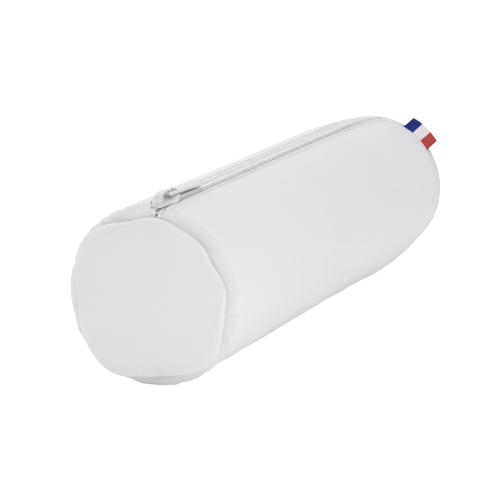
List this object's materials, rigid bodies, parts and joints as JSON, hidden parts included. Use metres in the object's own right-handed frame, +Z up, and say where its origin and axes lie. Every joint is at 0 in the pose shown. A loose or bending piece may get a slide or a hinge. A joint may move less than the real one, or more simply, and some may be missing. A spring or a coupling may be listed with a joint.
{
  "type": "bolster pillow",
  "caption": "Small round bolster: zipped, washable cover with domed end panels over a filled inner bag, with a running slider, swinging pull and a ribbon tag.",
  "frame": {"origin": "middle of the flat patch the bolster rests on, under the middle of its length", "axes": "+X along the bolster from the end where the slider is parked to the end with the ribbon tag, +Z up, with the zip on top"},
  "size_m": [0.248, 0.072, 0.0754],
  "materials": {
    "cover_fabric": "matte",
    "sewing_thread": "matte",
    "zip_tape": "matte",
    "zip_coil": "satin",
    "slider_paint": "satin",
    "ribbon": "matte",
    "inner_bag_cloth": "matte",
    "filling": "matte"
  },
  "bodies": {
    "bolster": {"cover_tube_panel": "cover_fabric", "cover_front_disc": "cover_fabric", "cover_rear_disc": "cover_fabric", "front_seam_thread": "sewing_thread", "rear_seam_thread": "sewing_thread", "zip_tape_left": "zip_tape", "zip_coil_left": "zip_coil", "zip_coil_cord_left": "zip_tape", "zip_seam_thread_left": "sewing_thread", "zip_tape_right": "zip_tape", "zip_coil_right": "zip_coil", "zip_coil_cord_right": "zip_tape", "zip_seam_thread_right": "sewing_thread", "inner_bag_tube": "inner_bag_cloth", "inner_bag_front_disc": "inner_bag_cloth", "inner_bag_rear_disc": "inner_bag_cloth", "filling": "filling"},
    "slider": {"slider_body": "slider_paint"},
    "pull": {"pull_tab": "slider_paint"},
    "tag": {"ribbon_tag": "ribbon"}
  },
  "joints": [
    {"name": "slider_slide", "type": "slide", "parent": "bolster", "child": "slider", "axis": [1, 0, 0], "range_m": [0, 0.195], "deforming": ["zip_tape_left", "zip_coil_left", "zip_coil_cord_left", "zip_tape_right", "zip_coil_right", "zip_coil_cord_right"]},
    {"name": "pull_pivot", "type": "hinge", "parent": "slider", "child": "pull", "pos_m": [-0.10868, -0.00197, 0.07382], "axis": [0, -0.9987, -0.0506], "range_deg": [0, 180]},
    {"name": "tag_flap", "type": "hinge", "parent": "bolster", "child": "tag", "pos_m": [0.1193, -0.02158, 0.05983], "axis": [0, -0.7547, -0.6561], "range_deg": [-40, 110], "stiffness_Nm_per_rad": 0.00005}
  ]
}
